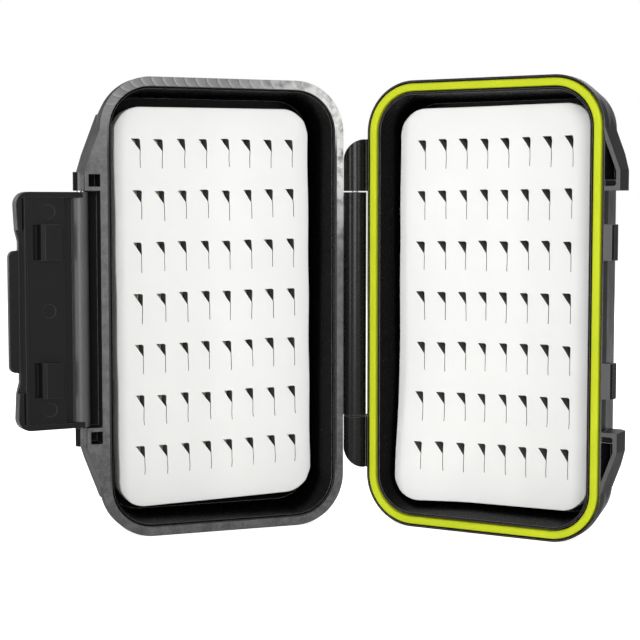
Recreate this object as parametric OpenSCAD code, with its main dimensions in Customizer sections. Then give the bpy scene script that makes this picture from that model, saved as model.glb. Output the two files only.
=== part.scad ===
// Fly box: a waterproof pocket case for fishing flies, drawn half open.
// Two drafted trays turn on one hinge pin, each holds a slit foam sheet, and
// a flap on the lid hooks under two catches on the base.
//
// Each half is drawn lying on its back: x runs from the hinge axis to the
// latch edge, y along the case and z up out of the tray, with z = 0 at the
// parting plane. The halves are then stood on their lower ends.

/* [Case] */
// Length of both halves along the hinge
case_length = 150; // [130:1:180]
// Width of a half, from its hinge edge to its latch edge
case_width = 83.7; // [78:0.1:100]
// Corner radius of the rim
corner_r = 17; // [14:0.5:20]
// Depth of each half
half_depth = 23; // [21:0.5:30]
// Depth of the upright band under each rim, which the open case stands on
rim_band = 5; // [4:0.5:8]
// Draft of the outer walls below the band, in degrees
outer_draft = 10; // [4:0.5:11]
// Draft of the inner walls, in degrees
inner_draft = 5; // [3:0.5:6]
// Radius of the outer edge round each back
back_edge_r = 4; // [2:0.5:6]
// Thickness of each back
back_t = 2.2; // [1.6:0.1:3]
// Angle between the two halves as drawn; 180 is flat open
open_angle = 129.6; // [0:0.1:180]
// Angle of the latch flap from its closed place as drawn
flap_angle = 82; // [0:1:135]

/* [Lid rim] */
// Width of the flat sealing flange
flange_w = 3; // [2.5:0.1:3.6]
// Width of the ledge inside the flange
ledge_w = 0.8; // [0.6:0.1:1]
// Step down from the flange to the ledge
ledge_drop = 1; // [0.5:0.1:2]

/* [Base rim and gasket] */
// Thickness of the lip outside the gasket
outer_lip_t = 0.5; // [0.4:0.1:1.2]
// Thickness of the lip inside the gasket
inner_lip_t = 0.7; // [0.6:0.1:1.6]
// Step from the parting plane down to both lips
lip_drop = 0.9; // [0.4:0.1:1.2]
// Width of the gasket
gasket_w = 2.5; // [2:0.1:3]
// Open groove left at each side of the gasket
gasket_play = 0.55; // [0.1:0.05:0.7]
// Depth of the gasket groove below the lips
groove_depth = 2.2; // [1.6:0.1:3]
// Gap left between the closed lid and the gasket
gasket_gap = 0.1; // [0.1:0.05:0.3]
// Radius of the gasket's two upper edges
gasket_edge_r = 0.7; // [0.3:0.1:1]

/* [Foam sheets] */
// Gap between a sheet's long sides and the foot of the base's walls
foam_side_gap = 1.2; // [0.5:0.1:4]
// Gap between a sheet's ends and the foot of the base's walls
foam_end_gap = 1.9; // [0.5:0.1:5]
// Thickness of a sheet
foam_t = 6.5; // [4:0.5:8]
// Corner radius of a sheet
foam_r = 9; // [6:0.5:12]
// Thickness of the glue film under a sheet
film_t = 0.3; // [0.2:0.1:0.5]
// Margin by which the glue film is smaller all round
film_margin = 1.5; // [0.5:0.5:4]
// Cuts in a row
cut_columns = 8; // [4:1:8]
// Rows of cuts
cut_rows = 7; // [3:1:7]
// Margin between a sheet's long sides and the cuts
cut_side_margin = 5.8; // [4:0.1:9]
// Margin between a sheet's ends and the cuts
cut_end_margin = 10.5; // [6:0.5:16]
// Width of a cut's wedge
wedge_w = 2.8; // [2:0.1:3.5]
// Height of a cut's wedge
wedge_h = 3.9; // [3:0.1:5]
// Length of the slit below a wedge
slit_l = 5.9; // [4:0.1:7]
// Width of the slit
slit_w = 0.35; // [0.3:0.05:0.6]
// Depth of a cut
cut_depth = 3.5; // [2:0.5:3.5]

/* [Hinge] */
// Distance from the hinge axis to each half's hinge edge
hinge_gap = 4.3; // [4.3:0.1:6]
// Radius of the hinge barrel
barrel_r = 3.9; // [3:0.1:3.9]
// Length of the lid's middle knuckle
mid_knuckle_l = 76; // [60:1:80]
// Length of each tapered end knuckle on the base
end_knuckle_l = 17.5; // [14:0.5:19]
// Length over which an end knuckle keeps its full width
knuckle_straight = 9; // [4:0.5:10]
// End gap between two knuckles
knuckle_gap = 0.4; // [0.3:0.1:1]
// Depth to which a knuckle's gusset runs down the wall
gusset_drop = 8; // [6:0.5:12]
// Radius of the hinge pin
hinge_pin_r = 1; // [0.8:0.05:1.3]
// Running clearance round both pins
pin_clearance = 0.05; // [0.02:0.01:0.08]

/* [Ears] */
// Reach of the ears beyond the latch edge
ear_reach = 5.1; // [4.6:0.1:6]
// Distance from mid-length to where an ear leaves the wall
ear_start = 58; // [54:0.5:64]
// Distance from mid-length to an ear's outer corner
ear_corner = 44.6; // [43.5:0.1:46]
// Radius of that corner
ear_corner_r = 2; // [1:0.1:3]
// Wall thickness of an ear
ear_wall = 1.3; // [1:0.1:1.6]
// Depth of the base's ears
base_ear_depth = 11.5; // [9:0.5:14]
// Depth of the lid's ears
lid_ear_depth = 14.5; // [11:0.5:16]
// Bevel along the lower outer edge of an ear
ear_bevel = 2; // [1:0.5:3]
// Thickness of the cross wall at the inner end of a base ear
base_cross_wall = 3.3; // [3:0.1:4]
// Radius of the half-round groove in that cross wall
ear_groove_r = 0.95; // [0.6:0.05:1.2]
// Length of the square pocket in a lid ear
lid_pocket_l = 4; // [3:0.1:4.4]
// Depth of that pocket
lid_pocket_depth = 8; // [5:0.5:10]
// Depth of the hollow in a lid ear's face
ear_scoop = 1.2; // [0.6:0.1:2]
// Reach of the sill that joins the lid's ears behind the flap
sill_reach = 3.6; // [2:0.1:4]
// Depth of the sill's upper face
sill_drop = 8; // [7:0.5:10]

/* [Latch flap] */
// Length of the flap along the case
flap_l = 75.6; // [70:0.2:80]
// End gap between the flap and each ear
flap_gap = 0.4; // [0.4:0.1:1.2]
// Distance from the latch edge to the flap's axis
latch_axis_out = 6.3; // [5.9:0.1:8]
// Depth of the flap's axis below the lid's rim
latch_axis_drop = 2.8; // [2.4:0.1:3.5]
// Radius of the flap's barrel
flap_barrel_r = 2.8; // [2.4:0.05:2.9]
// Radius of the pin bosses on the lid
boss_r = 2; // [1.7:0.1:2.2]
// Length of a pin boss
boss_l = 6; // [5:0.5:7]
// Radius of the latch pin
latch_pin_r = 0.9; // [0.7:0.05:1]
// Reach of the flap's corners from its axis
flap_reach = 22; // [21:0.1:24]
// Reach of the thumb tab from the flap's axis
tab_reach = 23.9; // [23.2:0.1:26]
// Length of the thumb tab along the case
tab_l = 38.6; // [30:0.2:44]
// Length of the hollow at each side of the tab
tab_hollow_l = 6.5; // [5:0.5:8]
// Depth of that hollow, from the flap's edge
tab_hollow_depth = 1.3; // [1:0.1:2]
// Corner radius of the flap
flap_corner_r = 4; // [2:0.5:5]
// Height of the flap's back below its axis
flap_back = 0.6; // [0.4:0.1:1]
// Height of the flap's panel above its axis
flap_panel = 2.2; // [1.8:0.1:2.6]
// Height of the flap's border above its axis
flap_border = 3.3; // [2.9:0.1:3.6]
// Thickness of the border
border_t = 1.8; // [1.4:0.1:2.2]
// Height of the groove's bottom above the axis
flap_groove = 0.3; // [0.2:0.1:1.2]
// Width of the groove between barrel and panel
flap_groove_w = 3.1; // [2.4:0.1:4]
// Height of the thumb tab's face above the axis
tab_face = 1.2; // [0.8:0.1:1.6]
// Length of the slope from the border down to the tab
tab_slope_l = 1.3; // [0.8:0.1:2.2]
// Diameter of the round ejector marks
mark_d = 4.4; // [3:0.1:5]
// Depth of the ejector marks
mark_depth = 0.2; // [0.1:0.05:0.3]

/* [Lugs and catches] */
// Length of a catch and its lug
catch_l = 11.4; // [9:0.2:13]
// Distance from mid-length to the middle of a catch
catch_at = 21.9; // [20:0.1:24]
// Reach of a catch beyond the latch edge
catch_reach = 3.4; // [2.4:0.1:3.5]
// Depth of a catch's underside below the parting plane
catch_drop = 4.9; // [4.4:0.1:5.6]
// Bevel on a catch's upper edge
catch_bevel = 0.7; // [0.2:0.1:1]
// Gap between a catch and the closed lug
lug_gap = 0.3; // [0.2:0.05:0.5]
// Width of a lug
lug_w = 6.4; // [5:0.1:7]
// Height of a lug above the flap's panel
lug_h = 3.2; // [2.8:0.1:3.5]
// Bevel on a lug's edge towards the tab
lug_bevel = 1.1; // [0.6:0.1:2]
// Width of the pocket beside a lug
lug_pocket_w = 1.9; // [1.4:0.1:2.4]
// Skin left under that pocket
lug_pocket_skin = 0.7; // [0.5:0.1:1]

/* [Hidden] */
$fn = 96;
SHELL = "#2b2b2d";
BARREL = "#161617";
LIME = "#dbe52c";
FOAM = "#f0f0ee";
FILM = "#d8d2b8";
STEEL = "#b9bcc0";
arc_steps = 6;            // straight pieces in a drawn arc
half_l = case_length / 2;
mid_x = hinge_gap + case_width / 2;       // middle of a tray
latch_x = hinge_gap + case_width;         // latch edge
floor_z = back_t - half_depth;            // inner face of a back
stand_y = (lip_drop + rim_band) / 2;      // middle of the base's end band
groove_w = gasket_w + 2 * gasket_play;
base_rim_w = outer_lip_t + groove_w + inner_lip_t;
wall_foot = base_rim_w - (floor_z + lip_drop) * tan(inner_draft);  // inset of the base's floor
foam_w = case_width - 2 * (wall_foot + foam_side_gap);
foam_l = case_length - 2 * (wall_foot + foam_end_gap);
cut_h = wedge_h + slit_l;
column_pitch = (foam_w - 2 * cut_side_margin - wedge_w) / (cut_columns - 1);
row_pitch = (foam_l - 2 * cut_end_margin - cut_h) / (cut_rows - 1);
lid_rim_w = flange_w + ledge_w;
ear_inner = flap_l / 2 + flap_gap;        // ear faces beside the flap
ear_x = latch_x + ear_reach;
root_margin = 0.3;
wall_root = root_margin + (lid_ear_depth - rim_band) * tan(outer_draft);  // how far in ears and knuckles start
latch_axis_x = latch_x + latch_axis_out;
pin_blind = 2;            // solid end beyond a pin's blind bore
cut_out = 1;              // how far a cutting solid passes a face
lug_start = latch_axis_drop + catch_drop + lug_gap;
lug_top = flap_panel + lug_h;
groove_end = flap_barrel_r + flap_groove_w;
end_knuckle_at = mid_knuckle_l / 2 + knuckle_gap;

// Points of an arc
function arc(centre, r, from, to, steps = arc_steps) =
    [for (i = [0:steps]) centre + r * [cos(from + (to - from) * i / steps),
                                       sin(from + (to - from) * i / steps)]];

// Where the fillet of the back edge is centred, in wall profile axes
function back_edge_centre() =
    [(back_edge_r + (half_depth - back_edge_r - rim_band) * sin(outer_draft)) / cos(outer_draft),
     back_edge_r - half_depth];

// Section of a tray's wall: x is the distance in from the rim's outline.
// rim lists the rim's own points, from its outer to its inner edge.
module wall_profile(rim) {
    inner_top = rim[len(rim) - 1];
    inner_foot = inner_top.x + (inner_top.y - floor_z) * tan(inner_draft);
    polygon(concat(rim,
        [[inner_foot, floor_z], [corner_r, floor_z], [corner_r, -half_depth]],
        arc(back_edge_centre(), back_edge_r, 270, 180 + outer_draft),
        [[0, -rim_band]]));
}

// Sweeps a wall section round a rectangle with rounded corners
module swept_wall(w, l, r) {
    for (corner = [[1, 1, 0], [-1, 1, 90], [-1, -1, 180], [1, -1, 270]])
        translate([corner.x * (w / 2 - r), corner.y * (l / 2 - r), 0])
            rotate([0, 0, corner.z])
                rotate_extrude(angle = 90)
                    translate([r, 0]) mirror([1, 0]) children();
    for (side = [[w / 2, l, 0], [l / 2, w, 90], [w / 2, l, 180], [l / 2, w, 270]])
        rotate([0, 0, side.z])
            translate([side.x, side.y / 2 - r, 0])
                rotate([90, 0, 0])
                    linear_extrude(side.y - 2 * r)
                        mirror([1, 0]) children();
}

// Flat plate with rounded corners, centred, from z = 0 up
module rounded_plate(w, l, r, t) {
    linear_extrude(t) {
        square([w - 2 * r, l], center = true);
        square([w, l - 2 * r], center = true);
        for (sx = [-1, 1], sy = [-1, 1])
            translate([sx * (w / 2 - r), sy * (l / 2 - r)]) circle(r);
    }
}

// One tray: the swept wall and the middle of its back
module tray(rim) {
    translate([mid_x, 0, 0]) {
        swept_wall(case_width, case_length, corner_r) wall_profile(rim);
        translate([0, 0, floor_z - back_t / 2])
            cube([case_width - 2 * corner_r, case_length - 2 * corner_r, back_t], center = true);
    }
}

// Places: the base on its end, the lid turned open about the hinge, the flap on the lid
module base_place() translate([-mid_x, -stand_y, half_l]) rotate([90, 0, 0]) children();
module lid_place()
    translate([-mid_x, -stand_y, half_l])
        rotate([0, 0, 180 - open_angle]) rotate([90, 0, 0]) mirror([1, 0, 0]) children();
module flap_place()
    lid_place() translate([latch_axis_x, 0, -latch_axis_drop])
        rotate([0, flap_angle - 90, 0]) children();

// Cylinder along the case, between two places on its length
module rod(r, from, to) translate([0, to, 0]) rotate([90, 0, 0]) cylinder(r = r, h = to - from);

// Prism along the case: its section is drawn in x and z
module bar(from, to) translate([0, to, 0]) rotate([90, 0, 0]) linear_extrude(to - from) children();

// Section of a knuckle: the barrel and the gusset that runs down the wall
module knuckle_section() {
    circle(barrel_r);
    polygon([[0, 0], [hinge_gap + wall_root, -lip_drop], [hinge_gap + wall_root, -gusset_drop],
             [hinge_gap, -gusset_drop], [-barrel_r * sin(45), -barrel_r * cos(45)]]);
}

// Plan of a tapered end knuckle: a flattened curve runs slanting to the hinge edge
module end_knuckle_plan() {
    taper_x = barrel_r + hinge_gap;
    taper_y = end_knuckle_l - knuckle_straight;
    flatness = 4 / 3;         // 1 is a quarter ellipse, 2 a straight line
    polygon(concat(
        [[hinge_gap + wall_root, 0], [-barrel_r, 0]],
        [for (a = [0:90 / (2 * arc_steps):90])
            [hinge_gap - taper_x * pow(cos(a), flatness),
             knuckle_straight + taper_y * pow(sin(a), flatness)]],
        [[hinge_gap + wall_root, end_knuckle_l]]));
}

module end_knuckle() {
    intersection() {
        bar(end_knuckle_at, end_knuckle_at + end_knuckle_l) knuckle_section();
        translate([0, end_knuckle_at, -gusset_drop])
            linear_extrude(gusset_drop + barrel_r) end_knuckle_plan();
    }
}

// Plan of an ear: a diagonal from the wall to the outer corner, then a straight end
module ear_plan() {
    slope = (ear_start - ear_corner) / ear_reach;
    tilt = atan(1 / slope);
    corner_shift = ear_corner_r * tan(tilt / 2);
    polygon(concat(
        [[latch_x - wall_root, ear_inner], [ear_x, ear_inner]],
        arc([ear_x - ear_corner_r, ear_corner - corner_shift], ear_corner_r, 0, tilt),
        [[latch_x - wall_root, ear_start + wall_root * slope]]));
}

// Plan of the hollow between an ear's diagonal wall and the tray, from a given length on
module ear_hollow_plan(from) {
    slope = (ear_start - ear_corner) / ear_reach;
    side = ear_wall * sqrt(1 + slope * slope);
    hollow_x = ear_x - ear_wall;
    polygon([[latch_x, from], [hollow_x, from],
             [hollow_x, ear_start - side - (hollow_x - latch_x) * slope],
             [latch_x, ear_start - side]]);
}

// Solid ear with a bevel along its lower outer edge
module ear_block(depth, top) {
    intersection() {
        translate([0, 0, -depth]) linear_extrude(depth - top) ear_plan();
        bar(ear_inner - cut_out, ear_start + case_length) polygon([
            [0, 0], [ear_x, 0], [ear_x, ear_bevel - depth],
            [ear_x - ear_bevel, -depth], [0, -depth]]);
    }
}

// Base ear: an open pocket, and a half-round groove in the cross wall
module base_ear() {
    pocket_from = ear_inner + base_cross_wall;
    groove_l = ear_reach - ear_wall - ear_groove_r;
    difference() {
        ear_block(base_ear_depth, lip_drop);
        translate([0, 0, ear_wall - base_ear_depth])
            linear_extrude(base_ear_depth) ear_hollow_plan(pocket_from);
        translate([latch_x, pocket_from - ear_groove_r, -lip_drop]) {
            rotate([0, 90, 0]) cylinder(r = ear_groove_r, h = groove_l);
            translate([groove_l, 0, 0]) sphere(ear_groove_r);
        }
    }
}

// Lid ear: a hollowed face, a square pocket and a boss for the latch pin
module lid_ear() {
    pocket_from = ear_inner + ear_wall;
    scoop_from = pocket_from + lid_pocket_l + ear_wall;
    scoop_r = 8 * ear_scoop;
    difference() {
        union() {
            ear_block(lid_ear_depth, 0);
            translate([latch_axis_x, 0, -latch_axis_drop]) rod(boss_r, ear_inner, ear_inner + boss_l);
            bar(ear_inner, ear_inner + boss_l)
                polygon([[ear_x - ear_wall, boss_r - latch_axis_drop],
                         [latch_axis_x, boss_r - latch_axis_drop],
                         [latch_axis_x, -boss_r - latch_axis_drop],
                         [ear_x - ear_wall, -2 * boss_r - latch_axis_drop]]);
        }
        translate([latch_x, pocket_from, -lid_pocket_depth])
            cube([ear_reach - ear_wall, lid_pocket_l, lid_pocket_depth + cut_out]);
        intersection() {
            translate([0, 0, -ear_scoop]) linear_extrude(ear_scoop + cut_out) ear_hollow_plan(scoop_from);
            translate([latch_x + ear_reach / 2, 0, scoop_r - ear_scoop]) rod(scoop_r, scoop_from, ear_start);
        }
    }
}

// Catch on the base's latch wall, with a bevelled upper edge
module catch() {
    translate([latch_x, 0, 0])
        bar(catch_at - catch_l / 2, catch_at + catch_l / 2) polygon([
            [-wall_root, -lip_drop], [catch_reach - catch_bevel, -lip_drop],
            [catch_reach, -lip_drop - catch_bevel],
            [catch_reach, -catch_drop], [-wall_root, -catch_drop]]);
}

// What is on both ends of the case alike
module both_ends() {
    children();
    mirror([0, 1, 0]) children();
}

module base_shell() {
    color(SHELL) base_place() difference() {
        union() {
            tray([[0, -lip_drop], [base_rim_w, -lip_drop]]);
            both_ends() {
                end_knuckle();
                base_ear();
                catch();
            }
        }
        translate([mid_x, 0, -lip_drop - groove_depth])
            swept_wall(case_width, case_length, corner_r)
                translate([outer_lip_t, 0]) square([groove_w, groove_depth + cut_out]);
        rod(hinge_pin_r + pin_clearance, -half_l, end_knuckle_at + knuckle_straight + pin_blind);
    }
}

// Gasket in the base's groove, with rounded upper edges
module gasket() {
    top = -gasket_gap;
    inset = outer_lip_t + gasket_play;
    color(LIME) base_place() translate([mid_x, 0, 0])
        swept_wall(case_width, case_length, corner_r) polygon(concat(
            [[inset + gasket_w, -lip_drop - groove_depth], [inset, -lip_drop - groove_depth]],
            arc([inset + gasket_edge_r, top - gasket_edge_r], gasket_edge_r, 180, 90, 4),
            arc([inset + gasket_w - gasket_edge_r, top - gasket_edge_r], gasket_edge_r, 90, 0, 4)));
}

// Sill between the lid's ears: it closes the gap behind the flap's barrel
module latch_sill() {
    translate([latch_x, 0, 0])
        bar(-ear_inner, ear_inner) polygon([
            [-wall_root, -sill_drop], [sill_reach, -sill_drop],
            [sill_reach, -sill_drop - ear_wall], [-wall_root, -lid_ear_depth]]);
}

module lid_shell() {
    color(SHELL) lid_place() difference() {
        union() {
            tray([[0, 0], [flange_w, 0], [flange_w, -ledge_drop], [lid_rim_w, -ledge_drop]]);
            latch_sill();
            bar(-mid_knuckle_l / 2, mid_knuckle_l / 2) knuckle_section();
            both_ends() lid_ear();
        }
        rod(hinge_pin_r + pin_clearance, -half_l, half_l);
        translate([latch_axis_x, 0, -latch_axis_drop])
            rod(latch_pin_r + pin_clearance, -half_l, ear_inner + boss_l - pin_blind);
    }
}

// One cut: a wedge with its square corner at the upper right, and a slit below it
module cut_plan() {
    polygon([[-wedge_w, 0], [0, 0], [0, -cut_h], [-slit_w, -cut_h], [-slit_w, -wedge_h]]);
}

// Foam sheet with its rows of cuts, centred, from z = 0 up
module foam_sheet() {
    first_cut = [cut_side_margin + wedge_w - foam_w / 2, foam_l / 2 - cut_end_margin];
    difference() {
        rounded_plate(foam_w, foam_l, foam_r, foam_t);
        for (i = [0:cut_columns - 1], j = [0:cut_rows - 1])
            translate([first_cut.x + i * column_pitch, first_cut.y - j * row_pitch, foam_t - cut_depth])
                linear_extrude(cut_depth + cut_out) cut_plan();
    }
}

module glue_film() rounded_plate(foam_w - 2 * film_margin, foam_l - 2 * film_margin,
                                 foam_r - film_margin, film_t);

module base_foam() color(FOAM) base_place() translate([mid_x, 0, floor_z + film_t]) foam_sheet();
module base_glue_film() color(FILM) base_place() translate([mid_x, 0, floor_z]) glue_film();

// The lid's sheet is the same one, so it is mirrored back inside the mirrored lid
module lid_foam()
    color(FOAM) lid_place() translate([mid_x, 0, floor_z + film_t]) mirror([1, 0, 0]) foam_sheet();
module lid_glue_film() color(FILM) lid_place() translate([mid_x, 0, floor_z]) glue_film();

module hinge_pin()
    color(STEEL) base_place() rod(hinge_pin_r, -end_knuckle_at - knuckle_straight - pin_blind,
                                  end_knuckle_at + knuckle_straight + pin_blind);

module latch_pin()
    color(STEEL) flap_place() rod(latch_pin_r, pin_blind - ear_inner - boss_l,
                                  ear_inner + boss_l - pin_blind);

// Plan of one half of the flap: rounded corner, hollow and thumb tab
module flap_half_plan() {
    half = flap_l / 2;
    tab_half = tab_l / 2;
    hollow_end = tab_half + tab_hollow_l;
    hollow_x = flap_reach - tab_hollow_depth;
    polygon(concat(
        [[-flap_barrel_r, 0], [tab_reach, 0]],
        arc([tab_reach - 2, tab_half - 2], 2, 0, 90),
        arc([hollow_x + 0.5, tab_half + 0.5], 0.5, 270, 180),
        [[hollow_x, hollow_end - 3.5], [flap_reach - 0.4, hollow_end]],
        arc([flap_reach - flap_corner_r, half - flap_corner_r], flap_corner_r, 0, 90),
        [[-flap_barrel_r, half]]));
}

// Section of the flap's plate, from its back round the tab to the groove
module flap_section() {
    slope_end = flap_reach - tab_hollow_depth;
    slope_start = slope_end - tab_slope_l;
    polygon([[0, -flap_barrel_r], [groove_end, -flap_back], [tab_reach, -flap_back],
             [tab_reach, tab_face], [slope_end, tab_face], [slope_start, flap_border],
             [slope_start - border_t / 2, flap_border], [slope_start - border_t / 2, flap_panel],
             [groove_end, flap_panel], [groove_end, flap_groove], [0, flap_groove]]);
}

// Border along the flap's two ends and round its outer corners
module flap_border_plan() {
    half = flap_l / 2;
    difference() {
        translate([0, -half]) square([flap_reach, flap_l]);
        translate([-cut_out, border_t - half]) square([flap_reach - border_t + cut_out, flap_l - 2 * border_t]);
        translate([0, -tab_l / 2 - tab_hollow_l]) square([tab_reach, tab_l + 2 * tab_hollow_l]);
    }
}

module lug() {
    bar(catch_at - catch_l / 2, catch_at + catch_l / 2) polygon([
        [lug_start, 0], [lug_start + lug_w, 0], [lug_start + lug_w, lug_top - lug_bevel],
        [lug_start + lug_w - lug_bevel, lug_top], [lug_start, lug_top]]);
}

module latch_flap() {
    half = flap_l / 2;
    color(SHELL) flap_place() difference() {
        union() {
            intersection() {
                union() {
                    bar(-half, half) flap_section();
                    translate([0, 0, -flap_back]) linear_extrude(flap_back + flap_border) flap_border_plan();
                }
                translate([0, 0, -flap_barrel_r]) linear_extrude(flap_barrel_r + lug_top) both_ends() flap_half_plan();
            }
            rod(flap_barrel_r, -half, half);
            both_ends() lug();
        }
        both_ends() translate([lug_start + lug_w, catch_at - catch_l / 2, lug_pocket_skin - flap_back])
            cube([lug_pocket_w, catch_l, lug_top]);
        for (y = [-1, 0, 1] * (catch_at + catch_l / 2 + border_t + mark_d / 2))
            translate([lug_start + lug_w / 2, y, flap_panel - mark_depth])
                cylinder(d = mark_d, h = lug_top);
        rod(latch_pin_r + pin_clearance, -half - cut_out, half + cut_out);
    }
}

base_shell();
gasket();
base_foam();
base_glue_film();
hinge_pin();
lid_shell();
lid_foam();
lid_glue_film();
latch_pin();
latch_flap();
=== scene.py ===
"""Looks of the half-open fly box: foam sheets, finishes, soft daylight studio and camera.

Lengths named here are in millimetres, as in the part's source. A half of the box has its
own axes: u runs from the hinge axis to the latch edge, w up out of the tray, v along the hinge.
"""
import math
import random

import bpy
from mathutils import Matrix, Vector


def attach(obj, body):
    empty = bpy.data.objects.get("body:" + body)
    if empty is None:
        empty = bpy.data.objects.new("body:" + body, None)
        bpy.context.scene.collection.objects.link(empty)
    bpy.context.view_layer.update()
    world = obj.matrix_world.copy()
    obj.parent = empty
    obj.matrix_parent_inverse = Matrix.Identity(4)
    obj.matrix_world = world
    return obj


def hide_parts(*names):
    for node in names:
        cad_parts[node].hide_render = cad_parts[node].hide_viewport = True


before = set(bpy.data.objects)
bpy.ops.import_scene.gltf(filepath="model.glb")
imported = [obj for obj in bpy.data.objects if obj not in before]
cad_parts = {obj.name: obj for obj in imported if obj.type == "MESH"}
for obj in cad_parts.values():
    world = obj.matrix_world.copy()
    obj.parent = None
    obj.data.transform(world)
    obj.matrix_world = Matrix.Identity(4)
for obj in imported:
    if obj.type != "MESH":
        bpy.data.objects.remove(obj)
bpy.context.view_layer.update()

MM = 0.001

# ---- sizes repeated from the part's source ----------------------------------------------------
CASE_LENGTH, CASE_WIDTH, CORNER_R = 150.0, 83.7, 17.0
HINGE_GAP, BARREL_R = 4.3, 3.9
OPEN_ANGLE = 129.6
FLOOR_W = -20.8                    # inner face of each back
FLANGE_W, LEDGE_DROP = 3.0, 1.0
BASE_RIM_W, LIP_DROP = 4.8, 0.9
STAND_Y = 2.95                     # from the row's origin to the parting plane of the base
FOAM_W, FOAM_L, FOAM_T, FOAM_R, FILM_T = 68.218, 133.118, 6.5, 9.0, 0.3
CUT_COLUMNS, CUT_ROWS = 8, 7
ROW_PITCH = 17.053
CUT_END_MARGIN = 10.5
LATCH_AXIS_U, LATCH_AXIS_W, FLAP_BARREL_R = 94.3, -2.8, 2.8

# ---- sizes of the scene alone -----------------------------------------------------------------
# a cut as it shows in the photograph; the source's wedge is 2.8 x 3.9 and its slit 5.9 x 0.35
WEDGE_W, WEDGE_H, SLIT_L, SLIT_W = 3.15, 4.1, 5.8, 0.22
WEDGE_CORNER_R = 0.7               # round of a wedge's inner corner
FOAM_EDGE_R = 0.4                  # round of a sheet's upper edge
FOAM_GRID = 4.2                    # step of the grid that lets a sheet bend
SMOOTH_ANGLE = math.radians(35)
MILL_PITCH, MILL_BOW_R = 3.7, 2.9  # crescents on the flange: spacing and radius
MILL_OFFSET = 200.0                # keeps the run along the rim positive

MIDDLE_U = HINGE_GAP + CASE_WIDTH / 2
HALF_ANGLE = math.radians(180 - OPEN_ANGLE)

# Each half's own axes in the row frame: columns are u, w and v, and the hinge axis is its origin
BASE_AXES = Matrix(((1, 0, 0, -MIDDLE_U), (0, -1, 0, -STAND_Y),
                    (0, 0, 1, CASE_LENGTH / 2), (0, 0, 0, 1)))
LID_AXES = Matrix(((-math.cos(HALF_ANGLE), math.sin(HALF_ANGLE), 0, -MIDDLE_U),
                   (-math.sin(HALF_ANGLE), -math.cos(HALF_ANGLE), 0, -STAND_Y),
                   (0, 0, 1, CASE_LENGTH / 2), (0, 0, 0, 1)))


# ---- small helpers ----------------------------------------------------------------------------
def linear(hex_colour):
    """Turn an sRGB hex colour into the linear colour that a socket takes."""
    channels = [int(hex_colour[i:i + 2], 16) / 255 for i in (1, 3, 5)]
    return tuple(c / 12.92 if c <= 0.04045 else ((c + 0.055) / 1.055) ** 2.4
                 for c in channels) + (1.0,)


def add_node(material, kind, inputs=None, **settings):
    """Add one node, set its properties, then set or link its inputs."""
    tree = material.node_tree
    made = tree.nodes.new(kind)
    for name, value in settings.items():
        setattr(made, name, value)
    for name, value in (inputs or {}).items():
        if isinstance(value, bpy.types.NodeSocket):
            tree.links.new(value, made.inputs[name])
        else:
            made.inputs[name].default_value = value
    return made


def new_material(name):
    """An empty material with an output node."""
    material = bpy.data.materials.new(name)
    material.use_nodes = True
    material.node_tree.nodes.clear()
    return material


def select_only(piece):
    bpy.ops.object.select_all(action="DESELECT")
    piece.select_set(True)
    bpy.context.view_layer.objects.active = piece


def edit_chosen(piece, mode, chosen):
    """Open edit mode with only the chosen vertices, edges or faces selected."""
    select_only(piece)
    bpy.ops.object.mode_set(mode="EDIT")
    bpy.ops.mesh.select_mode(type=mode)
    bpy.ops.mesh.select_all(action="DESELECT")
    bpy.ops.object.mode_set(mode="OBJECT")
    mesh = piece.data
    elements = {"VERT": mesh.vertices, "EDGE": mesh.edges, "FACE": mesh.polygons}[mode]
    for element in elements:
        element.select = chosen(element)
    bpy.ops.object.mode_set(mode="EDIT")


def leave_edit():
    bpy.ops.object.mode_set(mode="OBJECT")


def corners_of(piece, element):
    """Places of an edge's or a face's vertices."""
    return [piece.data.vertices[i].co for i in element.vertices]


def smooth_step(value):
    value = min(max(value, 0.0), 1.0)
    return value * value * (3 - 2 * value)


# ---- camera, from the photograph's perspective ------------------------------------------------
camera_data = bpy.data.cameras.new("camera")
camera_data.lens, camera_data.sensor_width = 88.73, 36
camera = bpy.data.objects.new("camera", camera_data)
camera.location = (0.20835, -0.47705, 0.1085)
camera.rotation_euler = Vector((-0.4911, 0.8681, -0.0724)).to_track_quat("-Z", "Y").to_euler()
bpy.context.scene.collection.objects.link(camera)
bpy.context.scene.camera = camera


# ---- materials --------------------------------------------------------------------------------
def half_coordinates(material, axes):
    """Object coordinates in one half's own axes, centred on its tray, in metres."""
    place = add_node(material, "ShaderNodeTexCoord")
    turn = math.atan2(axes[1][0], axes[0][0])
    centre = axes @ Vector((MIDDLE_U, 0, 0))
    moved = add_node(material, "ShaderNodeVectorMath", operation="SUBTRACT", inputs={
        0: place.outputs["Object"], 1: centre * MM})
    return add_node(material, "ShaderNodeVectorRotate", rotation_type="Z_AXIS", inputs={
        "Vector": moved.outputs[0], "Angle": -turn}).outputs[0]


def edge_light(material, radius_mm):
    """Mask that is 1 on a rounded edge and 0 on flat faces, and the rounded normal."""
    rounded = add_node(material, "ShaderNodeBevel", samples=4, inputs={"Radius": radius_mm * MM})
    flat = add_node(material, "ShaderNodeNewGeometry")
    along = add_node(material, "ShaderNodeVectorMath", operation="DOT_PRODUCT", inputs={
        0: rounded.outputs[0], 1: flat.outputs["True Normal"]})
    mask = add_node(material, "ShaderNodeMapRange", inputs={
        "Value": along.outputs["Value"], "From Min": 0.99, "From Max": 0.8,
        "To Min": 0.0, "To Max": 1.0})
    return mask.outputs[0], rounded.outputs[0]


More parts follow.
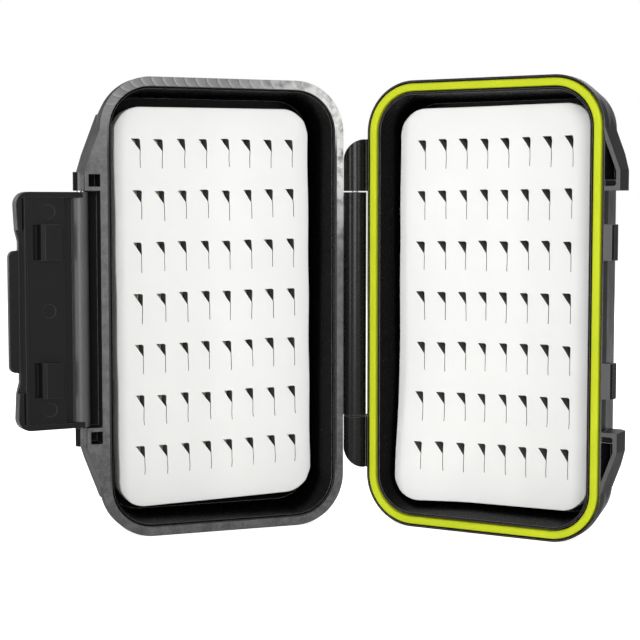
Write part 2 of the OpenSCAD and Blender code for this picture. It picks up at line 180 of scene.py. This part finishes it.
def satin_abs(name, dark, pale, edge, specular):
    """ABS from a spark-eroded mould: a charcoal skin with a fine matt grain, and a painted highlight on
    its rounded edges.
    """
    material = new_material(name)
    place = add_node(material, "ShaderNodeTexCoord").outputs["Object"]
    mask, rounded = edge_light(material, 0.35)
    # real spark grain is about 0.1 mm; drawn at 0.5 mm so that it shows
    grain = add_node(material, "ShaderNodeTexNoise", inputs={
        "Vector": place, "Scale": 1 / (0.5 * MM), "Detail": 3.0, "Roughness": 0.6})
    handling = add_node(material, "ShaderNodeTexNoise", inputs={
        "Vector": place, "Scale": 1 / (9 * MM), "Detail": 4.0, "Roughness": 0.55})
    tone = add_node(material, "ShaderNodeMix", data_type="RGBA", inputs={
        0: handling.outputs["Fac"], 6: linear(dark), 7: linear(pale)})
    # the rounded edges take a paler colour: a painted highlight
    tone_with_painted_edge_highlight = add_node(material, "ShaderNodeMix", data_type="RGBA", inputs={
        0: mask, 6: tone.outputs[2], 7: linear(edge)})
    gloss = add_node(material, "ShaderNodeMapRange", inputs={
        "Value": handling.outputs["Fac"], "From Min": 0.3, "From Max": 0.7,
        "To Min": 0.34, "To Max": 0.44})
    bump = add_node(material, "ShaderNodeBump", inputs={
        "Strength": 0.25, "Distance": 0.06 * MM, "Height": grain.outputs["Fac"],
        "Normal": rounded})
    shader = add_node(material, "ShaderNodeBsdfPrincipled", inputs={
        "Base Color": tone_with_painted_edge_highlight.outputs[2], "Roughness": gloss.outputs[0],
        "Normal": bump.outputs[0], "IOR": 1.54, "Specular IOR Level": specular})
    add_node(material, "ShaderNodeOutputMaterial", inputs={"Surface": shader.outputs[0]})
    return material


def polished_abs(name, colour, specular):
    """ABS against a polished mould face: near black, glossy, with faint flow ripples and dust."""
    material = new_material(name)
    place = add_node(material, "ShaderNodeTexCoord").outputs["Object"]
    mask, rounded = edge_light(material, 0.3)
    ripple = add_node(material, "ShaderNodeTexNoise", inputs={
        "Vector": place, "Scale": 1 / (11 * MM), "Detail": 1.0})
    dust = add_node(material, "ShaderNodeTexNoise", inputs={
        "Vector": place, "Scale": 1 / (1.3 * MM), "Detail": 4.0, "Roughness": 0.75})
    specks = add_node(material, "ShaderNodeMapRange", inputs={
        "Value": dust.outputs["Fac"], "From Min": 0.66, "From Max": 0.8,
        "To Min": 0.0, "To Max": 0.35})
    tone = add_node(material, "ShaderNodeMix", data_type="RGBA", inputs={
        0: specks.outputs[0], 6: linear(colour), 7: linear("#3A3A3B")})
    # the rounded edges take a paler colour: a painted highlight
    tone_with_painted_edge_highlight = add_node(material, "ShaderNodeMix", data_type="RGBA", inputs={
        0: mask, 6: tone.outputs[2], 7: linear("#7C7C7A")})
    gloss = add_node(material, "ShaderNodeMapRange", inputs={
        "Value": dust.outputs["Fac"], "From Min": 0.3, "From Max": 0.8,
        "To Min": 0.2, "To Max": 0.34})
    bump = add_node(material, "ShaderNodeBump", inputs={
        "Strength": 0.12, "Distance": 0.3 * MM, "Height": ripple.outputs["Fac"],
        "Normal": rounded})
    shader = add_node(material, "ShaderNodeBsdfPrincipled", inputs={
        "Base Color": tone_with_painted_edge_highlight.outputs[2], "Roughness": gloss.outputs[0],
        "Normal": bump.outputs[0], "IOR": 1.54, "Specular IOR Level": specular})
    add_node(material, "ShaderNodeOutputMaterial", inputs={"Surface": shader.outputs[0]})
    return material


def rim_track(material, place):
    """Distance run along an end of a half's rim, and distance in from its outline, in millimetres."""
    def maths(operation, *values):
        return add_node(material, "ShaderNodeMath", operation=operation,
                        inputs=dict(enumerate(values))).outputs[0]
    axes = add_node(material, "ShaderNodeSeparateXYZ", inputs={0: place})
    u = maths("MULTIPLY", maths("ABSOLUTE", axes.outputs["X"]), 1 / MM)
    v = maths("MULTIPLY", maths("ABSOLUTE", axes.outputs["Z"]), 1 / MM)
    straight_u, straight_v = CASE_WIDTH / 2 - CORNER_R, CASE_LENGTH / 2 - CORNER_R
    past_u = maths("MAXIMUM", maths("SUBTRACT", u, straight_u), 0.0)
    past_v = maths("MAXIMUM", maths("SUBTRACT", v, straight_v), 0.0)
    reach = maths("SQRT", maths("ADD", maths("MULTIPLY", past_u, past_u),
                                maths("MULTIPLY", past_v, past_v)))
    inset = maths("SUBTRACT", CORNER_R, reach)
    round_corner = maths("MULTIPLY", maths("ARCTAN2", past_u, past_v), CORNER_R)
    run = maths("ADD", maths("MINIMUM", u, straight_u), round_corner)
    run = maths("MULTIPLY", run, maths("SIGN", axes.outputs["X"]))
    return run, inset, maths


def milled_flange_with_painted_sheen():
    """ABS from a mould whose sealing face was left as milled, its grey a painted sheen that is brighter
    towards
    the top end: crescents 3.7 mm apart at the top end, fine streaks elsewhere, painted shade in a dark
    band along the inside, and a painted highlight on a corner."""
    material = new_material("mill_marked_abs_flange_painted_sheen")
    place = half_coordinates(material, LID_AXES)
    mask, rounded = edge_light(material, 0.3)
    run, inset, maths = rim_track(material, place)

    def ramp(value, start, end):
        return add_node(material, "ShaderNodeMapRange", interpolation_type="SMOOTHSTEP", inputs={
            "Value": value, "From Min": start, "From Max": end}).outputs[0]

    def mix(factor, dark, pale):
        return add_node(material, "ShaderNodeMix", data_type="RGBA", clamp_factor=True, inputs={
            0: factor, 6: dark, 7: pale}).outputs[2]

    axes = add_node(material, "ShaderNodeSeparateXYZ", inputs={0: place})
    along = axes.outputs["Z"]
    across = maths("SUBTRACT", inset, FLANGE_W * 0.15)
    bow = maths("SQRT", maths("MAXIMUM", maths(
        "SUBTRACT", MILL_BOW_R ** 2, maths("MULTIPLY", across, across)), 0.0))
    bow = maths("SUBTRACT", bow, maths("MULTIPLY", inset, 0.15))
    shifted = maths("ADD", maths("SUBTRACT", run, bow), MILL_OFFSET)
    phase = maths("FRACT", maths("DIVIDE", shifted, MILL_PITCH))
    stretch = add_node(material, "ShaderNodeTexNoise", inputs={
        "Vector": place, "Scale": 1 / (1.1 * MM), "Detail": 4.0, "Roughness": 0.7}).outputs["Fac"]
    blotch = add_node(material, "ShaderNodeTexNoise", inputs={
        "Vector": place, "Scale": 1 / (4 * MM), "Detail": 3.0, "Roughness": 0.6}).outputs["Fac"]
    milled = ramp(along, 0.058, 0.073)
    crescents = maths("MULTIPLY", milled, maths("POWER", maths("MAXIMUM", phase, 0.0001), 5.0))
    # the flange's grey is painted sheen: darker at the lower end, brighter at the top end, darker out on
    # the ear plates
    tone = mix(ramp(along, -0.07, -0.02), linear("#363637"), linear("#4A4A4B"))
    tone = mix(ramp(along, 0.045, 0.07), tone, linear("#6B6B6C"))
    tone = mix(ramp(inset, -1.0, -9.0), tone, linear("#2E2E2F"))
    tone = mix(maths("MULTIPLY", ramp(stretch, 0.35, 0.75), 0.12), tone, linear("#A0A0A1"))
    tone = mix(maths("MULTIPLY", ramp(blotch, 0.35, 0.65), 0.15), tone, linear("#9A9A9B"))
    tone = mix(maths("MULTIPLY", crescents, 0.55), tone, linear("#B4B4B5"))
    furrows = maths("MULTIPLY", milled, maths("POWER", maths("SUBTRACT", 1.0, phase), 12.0))
    tone = mix(maths("MULTIPLY", furrows, 0.85), tone, linear("#303031"))
    # metres from the corner at the top of the hinge side, where a highlight is painted pale
    corner = add_node(material, "ShaderNodeVectorMath", operation="DISTANCE", inputs={
        0: place, 1: Vector((-CASE_WIDTH / 2, 0, CASE_LENGTH / 2 - CORNER_R)) * MM}).outputs["Value"]
    painted_corner_highlight = maths("MULTIPLY", ramp(corner, 0.046, 0.006), ramp(blotch, 0.25, 0.6))
    tone = mix(painted_corner_highlight, tone, linear("#DEDEDC"))
    # painted shade: a near-black band along the flange's inner edge on the long sides
    side = ramp(maths("ABSOLUTE", along), 0.062, 0.050)
    tone = mix(maths("MULTIPLY", side, ramp(inset, 2.2, 2.45)), tone, linear("#0B0B0B"))
    gloss = add_node(material, "ShaderNodeMapRange", inputs={
        "Value": stretch, "From Min": 0.3, "From Max": 0.7, "To Min": 0.28, "To Max": 0.46})
    height = maths("ADD", maths("MULTIPLY", milled, phase), maths("MULTIPLY", stretch, 0.5))
    bump = add_node(material, "ShaderNodeBump", inputs={
        "Strength": 0.4, "Distance": 0.12 * MM, "Height": height, "Normal": rounded})
    shader = add_node(material, "ShaderNodeBsdfPrincipled", inputs={
        "Base Color": tone, "Roughness": gloss.outputs[0], "Normal": bump.outputs[0],
        "IOR": 1.54, "Specular IOR Level": 0.25})
    add_node(material, "ShaderNodeOutputMaterial", inputs={"Surface": shader.outputs[0]})
    return material


def silicone_rubber():
    """Lime silicone, compression moulded: matt, a little waxy, with a dusty bloom in patches."""
    material = new_material("lime_silicone_rubber")
    place = add_node(material, "ShaderNodeTexCoord").outputs["Object"]
    bloom = add_node(material, "ShaderNodeTexNoise", inputs={
        "Vector": place, "Scale": 1 / (14 * MM), "Detail": 3.0})
    grain = add_node(material, "ShaderNodeTexNoise", inputs={
        "Vector": place, "Scale": 1 / (0.6 * MM), "Detail": 3.0, "Roughness": 0.7})
    tone = add_node(material, "ShaderNodeMix", data_type="RGBA", inputs={
        0: bloom.outputs["Fac"], 6: linear("#B2C212"), 7: linear("#CCD622")})
    bump = add_node(material, "ShaderNodeBump", inputs={
        "Strength": 0.2, "Distance": 0.05 * MM, "Height": grain.outputs["Fac"]})
    shader = add_node(material, "ShaderNodeBsdfPrincipled", inputs={
        "Base Color": tone.outputs[2], "Roughness": 0.62, "Normal": bump.outputs[0],
        "IOR": 1.41, "Specular IOR Level": 0.35})
    add_node(material, "ShaderNodeOutputMaterial", inputs={"Surface": shader.outputs[0]})
    return material


def eva_foam(name, dark, pale):
    """Closed-cell EVA foam, die cut: dry and matt; the skin white, and the cut walls' copy painted grey
    as the shade inside the cuts.
    """
    material = new_material(name)
    place = add_node(material, "ShaderNodeTexCoord").outputs["Object"]
    # real cells are about 0.2 mm; drawn at 0.45 mm so that they show
    cells = add_node(material, "ShaderNodeTexVoronoi", feature="F1", inputs={
        "Vector": place, "Scale": 1 / (0.45 * MM)})
    cloud = add_node(material, "ShaderNodeTexNoise", inputs={
        "Vector": place, "Scale": 1 / (16 * MM), "Detail": 3.0})
    tone = add_node(material, "ShaderNodeMix", data_type="RGBA", inputs={
        0: cloud.outputs["Fac"], 6: linear(dark), 7: linear(pale)})
    bump = add_node(material, "ShaderNodeBump", inputs={
        "Strength": 0.15, "Distance": 0.06 * MM, "Height": cells.outputs["Distance"]})
    shader = add_node(material, "ShaderNodeBsdfPrincipled", inputs={
        "Base Color": tone.outputs[2], "Roughness": 0.9, "Normal": bump.outputs[0],
        "IOR": 1.45, "Specular IOR Level": 0.25})
    add_node(material, "ShaderNodeOutputMaterial", inputs={"Surface": shader.outputs[0]})
    return material


def drawn_steel():
    """Drawn stainless wire for the pins: bright metal with fine lines along it."""
    material = new_material("drawn_stainless_steel")
    place = add_node(material, "ShaderNodeTexCoord").outputs["Object"]
    drawn = add_node(material, "ShaderNodeMapping", inputs={
        "Vector": place, "Scale": (1, 1, 0.02)})
    lines = add_node(material, "ShaderNodeTexNoise", inputs={
        "Vector": drawn.outputs[0], "Scale": 1 / (0.3 * MM), "Detail": 2.0})
    gloss = add_node(material, "ShaderNodeMapRange", inputs={
        "Value": lines.outputs["Fac"], "From Min": 0.3, "From Max": 0.7,
        "To Min": 0.22, "To Max": 0.38})
    tone = add_node(material, "ShaderNodeMix", data_type="RGBA", inputs={
        0: lines.outputs["Fac"], 6: linear("#A9ACB0"), 7: linear("#C6C8CB")})
    shader = add_node(material, "ShaderNodeBsdfPrincipled", inputs={
        "Base Color": tone.outputs[2], "Roughness": gloss.outputs[0], "Metallic": 1.0})
    add_node(material, "ShaderNodeOutputMaterial", inputs={"Surface": shader.outputs[0]})
    return material


def adhesive_film():
    """Acrylic transfer adhesive under the foam: a thin amber film with small trapped bubbles."""
    material = new_material("acrylic_adhesive_film")
    place = add_node(material, "ShaderNodeTexCoord").outputs["Object"]
    bubbles = add_node(material, "ShaderNodeTexVoronoi", feature="F1", inputs={
        "Vector": place, "Scale": 1 / (2.5 * MM)})
    tone = add_node(material, "ShaderNodeMix", data_type="RGBA", inputs={
        0: bubbles.outputs["Distance"], 6: linear("#D9D2B6"), 7: linear("#C2B98F")})
    shader = add_node(material, "ShaderNodeBsdfPrincipled", inputs={
        "Base Color": tone.outputs[2], "Roughness": 0.3, "IOR": 1.47})
    add_node(material, "ShaderNodeOutputMaterial", inputs={"Surface": shader.outputs[0]})
    return material


# ---- foam sheets ------------------------------------------------------------------------------
foam_skin = eva_foam("white_eva_foam", "#EDEDEB", "#F3F3F1")
# its grey is painted shade, standing in for the shade inside the cuts
painted_shade_foam = eva_foam("eva_foam_painted_shade_in_cuts", "#4E4E4B", "#62625F")


def foam_blank():
    """A sheet without cuts, in millimetres, centred, with its underside at z = 0."""
    bpy.ops.object.select_all(action="DESELECT")
    bpy.ops.mesh.primitive_cube_add(size=1, location=(0, 0, FOAM_T / 2),
                                    scale=(FOAM_W, FOAM_L, FOAM_T))
    blank = bpy.context.object
    bpy.ops.object.transform_apply()
    edit_chosen(blank, "EDGE", lambda e: abs(corners_of(blank, e)[0].z - corners_of(blank, e)[1].z) > 1)
    bpy.ops.mesh.bevel(offset=FOAM_R, offset_type="OFFSET", segments=16, affect="EDGES")
    leave_edit()
    edit_chosen(blank, "EDGE", lambda e: all(c.z > FOAM_T - 0.01 for c in corners_of(blank, e)))
    bpy.ops.mesh.bevel(offset=FOAM_EDGE_R, offset_type="OFFSET", segments=3, affect="EDGES")
    leave_edit()
    return blank


def cutting_tool():
    """One cut: the slit, drawn up into a wedge with its square corner at the upper right."""
    bpy.ops.object.select_all(action="DESELECT")
    bpy.ops.mesh.primitive_plane_add(size=1, location=(-SLIT_W / 2, -WEDGE_H - SLIT_L / 2, 0))
    tool = bpy.context.object
    for finish in (foam_skin, painted_shade_foam):
        tool.data.materials.append(finish)
    tool.scale = (SLIT_W, SLIT_L, 1)
    bpy.ops.object.transform_apply()
    edit_chosen(tool, "EDGE", lambda e: all(c.y > -WEDGE_H - 0.01 for c in corners_of(tool, e)))
    bpy.ops.mesh.extrude_region_move(TRANSFORM_OT_translate={"value": (0, WEDGE_H, 0)})
    leave_edit()
    edit_chosen(tool, "VERT", lambda p: p.co.y > -0.01 and p.co.x < -SLIT_W / 2)
    bpy.ops.transform.translate(value=(SLIT_W - WEDGE_W, 0, 0))
    leave_edit()
    edit_chosen(tool, "VERT", lambda p: p.co.y > -0.01 and p.co.x > -0.01)
    bpy.ops.mesh.bevel(offset=WEDGE_CORNER_R, segments=4, affect="VERTICES")
    leave_edit()
    edit_chosen(tool, "FACE", lambda f: True)
    bpy.ops.mesh.extrude_region_move(TRANSFORM_OT_translate={"value": (0, 0, FOAM_T + 2)})
    bpy.ops.mesh.select_all(action="SELECT")
    bpy.ops.mesh.normals_make_consistent(inside=False)
    leave_edit()
    # the tool's faces take the second finish, which paints shade on the cut walls
    for face in tool.data.polygons:
        face.material_index = 1
    return tool


def cut_foam(sheet, seed, margin, pitch):
    """Cuts the rows of wedges and slits, each one a little different, as knives leave them."""
    chance = random.Random(seed)
    tool = cutting_tool()
    copies = []
    for i in range(CUT_COLUMNS):
        for j in range(CUT_ROWS):
            copy = tool.copy()
            copy.data = tool.data.copy()
            bpy.context.scene.collection.objects.link(copy)
            place = Matrix.Translation((
                margin + WEDGE_W - FOAM_W / 2 + i * pitch + chance.uniform(-0.12, 0.12),
                FOAM_L / 2 - CUT_END_MARGIN - j * ROW_PITCH + chance.uniform(-0.2, 0.2),
                -1))
            turn = Matrix.Rotation(math.radians(chance.uniform(-1.2, 1.2)), 4, "Z")
            size = Matrix.Diagonal((chance.uniform(0.9, 1.04), chance.uniform(0.95, 1.04), 1, 1))
            copy.data.transform(place @ turn @ size)
            copies.append(copy)
    bpy.data.objects.remove(tool)
    bpy.ops.object.select_all(action="DESELECT")
    for copy in copies:
        copy.select_set(True)
    bpy.context.view_layer.objects.active = copies[0]
    bpy.ops.object.join()
    knives = bpy.context.object
    select_only(sheet)
    cuts = sheet.modifiers.new("cuts", "BOOLEAN")
    cuts.operation, cuts.solver, cuts.object = "DIFFERENCE", "EXACT", knives
    bpy.ops.object.modifier_apply(modifier="cuts")
    bpy.data.objects.remove(knives)


def grid_foam(sheet, step):
    """Bisects the sheet into a grid, so that it can bend."""
    edit_chosen(sheet, "FACE", lambda f: True)
    for size, direction in ((FOAM_W, (1, 0, 0)), (FOAM_L, (0, 1, 0))):
        count = round(size / step)
        for k in range(1, count):
            place = size * (k / count - 0.5)
            bpy.ops.mesh.select_all(action="SELECT")
            bpy.ops.mesh.bisect(plane_co=Vector(direction) * place, plane_no=direction,
                                use_fill=False, threshold=0.0005)
    leave_edit()


def make_foam(name, seed, margin, pitch, warp, axes):
    """One sheet, bent by warp(x, y), placed in the tray whose axes are given."""
    sheet = foam_blank()
    sheet.name = sheet.data.name = name
    for finish in (foam_skin, painted_shade_foam):
        sheet.data.materials.append(finish)
    cut_foam(sheet, seed, margin, pitch)
    grid_foam(sheet, FOAM_GRID)
    for point in sheet.data.vertices:
        point.co += Vector(warp(point.co.x, point.co.y))
    # the sheet's x runs to the picture's right in both halves, so the lid's is turned round
    across = 1 if axes == BASE_AXES else -1
    stand = Matrix(((across, 0, 0, MIDDLE_U), (0, 0, 1, FLOOR_W + FILM_T), (0, 1, 0, 0), (0, 0, 0, 1)))
    sheet.data.transform(Matrix.Scale(MM, 4) @ axes @ stand)
    if (axes @ stand).determinant() < 0:
        sheet.data.flip_normals()
    select_only(sheet)
    bpy.ops.object.shade_smooth_by_angle(angle=SMOOTH_ANGLE)
    return sheet


def base_warp(x, y):
    """The base's sheet has come unstuck along the hinge, most of all at its lower corner."""
    hinge_side = smooth_step((-x - 6) / 28)
    lower = smooth_step((-y - 15) / 52)
    down = 0.5 - y / FOAM_L
    ragged = 0.07 * math.sin(1.3 * y)
    return (ragged - 0.7 - 0.7 * down, -0.9 * down + x / FOAM_W * (0.6 + 0.2 * down),
            hinge_side * (1.9 + 3.2 * lower) + 0.25 * math.sin(y / 21))


def lid_warp(x, y):
    """The lid's sheet lies flat but for slight waves, and was laid a little out of true."""
    down = 0.5 - y / FOAM_L
    ragged = 0.1 * math.sin(1.3 * y + 2)
    return (ragged + 1.1 * down, -0.3 + x / FOAM_W * (0.4 + 1.8 * down),
            0.12 * math.sin(x / 13 + 1) + 0.15 * math.sin(y / 19))


for name, node, body, seed, margin, pitch, warp, axes in (
        ("base_foam_sheet", "base_foam", "base", 7, 6.2, 7.45, base_warp, BASE_AXES),
        ("lid_foam_sheet", "lid_foam", "lid", 21, 5.9, 7.67, lid_warp, LID_AXES)):
    sheet = make_foam(name, seed, margin, pitch, warp, axes)
    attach(sheet, body)
    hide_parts(node)


# ---- finishes on the CAD's own pieces ---------------------------------------------------------
def half_place(axes, point):
    """A point of the row frame, in metres, as u, w and v of a half, in millimetres."""
    return axes.inverted() @ (Vector(point) / MM)


def rim_inset(place):
    """Distance in from a tray's outline."""
    past_u = max(abs(place.x - MIDDLE_U) - CASE_WIDTH / 2 + CORNER_R, 0)
    past_v = max(abs(place.z) - CASE_LENGTH / 2 + CORNER_R, 0)
    if past_u or past_v:
        return CORNER_R - math.hypot(past_u, past_v)
    return CORNER_R


# Zones of a shell, in the order of its finishes; the last is the latch side's tops
OUTSIDE, TRAY, RIM, BARREL, LATCH_TOPS = range(5)


def shell_zone(axes, rim_w, rim_low):
    """Sorts a shell's faces into its zones."""
    turn = axes.to_3x3().inverted()

    def zone(face):
        place, normal = half_place(axes, face.center), turn @ face.normal
        if math.hypot(place.x, place.y) < BARREL_R + 0.15 and abs(normal.z) < 0.5:
            return BARREL
        inset = rim_inset(place)
        if inset > rim_w - 0.05 and place.y > FLOOR_W - 0.1 and place.y < rim_low + 0.02:
            inward = Vector((MIDDLE_U - place.x, 0, -place.z))
            if normal.y > 0.9 or inward.dot(normal) > 0:
                return TRAY
        if inset <= rim_w and place.y >= rim_low - 0.05 and normal.y > 0.9:
            return LATCH_TOPS if place.x > HINGE_GAP + CASE_WIDTH - 0.3 else RIM
        return OUTSIDE
    return zone


def on_flap_barrel(face):
    """1 on the round of the flap's barrel, which takes a paler finish as a painted highlight, and 0
    elsewhere.
    """
    place = half_place(LID_AXES, face.center)
    near = math.hypot(place.x - LATCH_AXIS_U, place.y - LATCH_AXIS_W) < FLAP_BARREL_R + 0.1
    return int(near and abs(face.normal.z) < 0.5)


def dress(name, finishes, zone):
    """Gives a CAD node its finishes, face by face."""
    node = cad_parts[name]
    node.data.materials.clear()
    for finish in finishes:
        node.data.materials.append(finish)
    for face in node.data.polygons:
        face.material_index = zone(face)


satin = satin_abs("satin_moulded_abs", "#171718", "#1E1E1F", "#868688", 0.012)
# a darker copy of the satin for the flap, as painted shade, with a dimmer painted edge highlight
flap_satin = satin_abs("satin_moulded_abs_flap", "#121213", "#171718", "#48484A", 0.08)
# a paler copy of the satin: a painted highlight on the base's latch-side tops and on the flap's barrel
painted_highlight_satin = satin_abs("satin_abs_painted_highlight", "#3A3A3B", "#515152", "#5E5E60", 0.3)
tray_gloss = polished_abs("polished_abs_tray", "#040404", 0.015)
barrel_gloss = polished_abs("polished_abs_barrel", "#0A0A0A", 0.13)
flange = milled_flange_with_painted_sheen()
steel, film = drawn_steel(), adhesive_film()

dress("base_shell", (satin, tray_gloss, satin, barrel_gloss, painted_highlight_satin),
      shell_zone(BASE_AXES, BASE_RIM_W, -LIP_DROP))
dress("lid_shell", (satin, tray_gloss, flange, barrel_gloss, flange),
      shell_zone(LID_AXES, FLANGE_W, -LEDGE_DROP))
dress("latch_flap", (flap_satin, painted_highlight_satin), on_flap_barrel)
dress("gasket", (silicone_rubber(),), lambda face: 0)
for pin in ("hinge_pin", "latch_pin"):
    dress(pin, (steel,), lambda face: 0)
for glue in ("base_glue_film", "lid_glue_film"):
    dress(glue, (film,), lambda face: 0)


# ---- floor, world and lamps -------------------------------------------------------------------
def studio_white(material_or_world, seen, unseen):
    """Strength that is one value for camera, glossy and transmission rays and another for the rest."""
    path = add_node(material_or_world, "ShaderNodeLightPath")
    first = add_node(material_or_world, "ShaderNodeMath", operation="MAXIMUM", inputs={
        0: path.outputs["Is Camera Ray"], 1: path.outputs["Is Glossy Ray"]})
    any_seen = add_node(material_or_world, "ShaderNodeMath", operation="MAXIMUM", inputs={
        0: first.outputs[0], 1: path.outputs["Is Transmission Ray"]})
    return add_node(material_or_world, "ShaderNodeMapRange", inputs={
        "Value": any_seen.outputs[0], "To Min": unseen, "To Max": seen}).outputs[0]


world = bpy.data.worlds.new("studio")
bpy.context.scene.world = world
world.use_nodes = True
world.node_tree.nodes.clear()
background = add_node(world, "ShaderNodeBackground", inputs={
    "Color": linear("#FFFFFF"), "Strength": studio_white(world, 1.0, 0.2)})
add_node(world, "ShaderNodeOutputWorld", inputs={"Surface": background.outputs[0]})

bpy.ops.object.select_all(action="DESELECT")
bpy.ops.mesh.primitive_plane_add(size=12, location=(0, 3, 0))
floor = bpy.context.object
floor.name = "floor"
bpy.ops.object.transform_apply()
paper = new_material("white_backdrop_paper")
paper_place = add_node(paper, "ShaderNodeTexCoord").outputs["Object"]
fibre = add_node(paper, "ShaderNodeTexNoise", inputs={
    "Vector": paper_place, "Scale": 1 / (40 * MM), "Detail": 3.0})
paper_tone = add_node(paper, "ShaderNodeMix", data_type="RGBA", inputs={
    0: fibre.outputs["Fac"], 6: linear("#F2F2F2"), 7: linear("#F6F6F6")})
paper_shader = add_node(paper, "ShaderNodeBsdfPrincipled", inputs={
    "Base Color": paper_tone.outputs[2], "Roughness": 0.95, "Specular IOR Level": 0.1,
    "Emission Color": linear("#FFFFFF"), "Emission Strength": studio_white(paper, 0.85, 0.0)})
add_node(paper, "ShaderNodeOutputMaterial", inputs={"Surface": paper_shader.outputs[0]})
floor.data.materials.append(paper)

BOX_MIDDLE = Vector((-0.035, -0.03, 0.075))
LAMP_DISTANCE = 1.2
for lamp_name, direction, width, height, power in (
        ("softbox_by_camera", (0.46, -0.885, 0.12), 0.5, 0.5, 10.3),
        ("strip_front_left", (-0.38, -0.925, 0.0), 0.10, 0.35, 3.2),
        ("spot_right", (0.917, -0.39, 0.08), 0.12, 0.2, 1.4),
        ("strip_behind_left", (-0.93, 0.32, 0.15), 0.2, 0.5, 1.2),
        ("softbox_behind", (-0.1, 0.8, 0.6), 0.7, 0.7, 9.0)):
    lamp_data = bpy.data.lights.new(lamp_name, "AREA")
    lamp_data.shape, lamp_data.size, lamp_data.size_y = "RECTANGLE", width, height
    lamp_data.energy = power
    lamp = bpy.data.objects.new(lamp_name, lamp_data)
    lamp.location = BOX_MIDDLE + LAMP_DISTANCE * Vector(direction).normalized()
    lamp.rotation_euler = (-Vector(direction)).to_track_quat("-Z", "Y").to_euler()
    bpy.context.scene.collection.objects.link(lamp)

bpy.context.scene.view_settings.view_transform = "Standard"
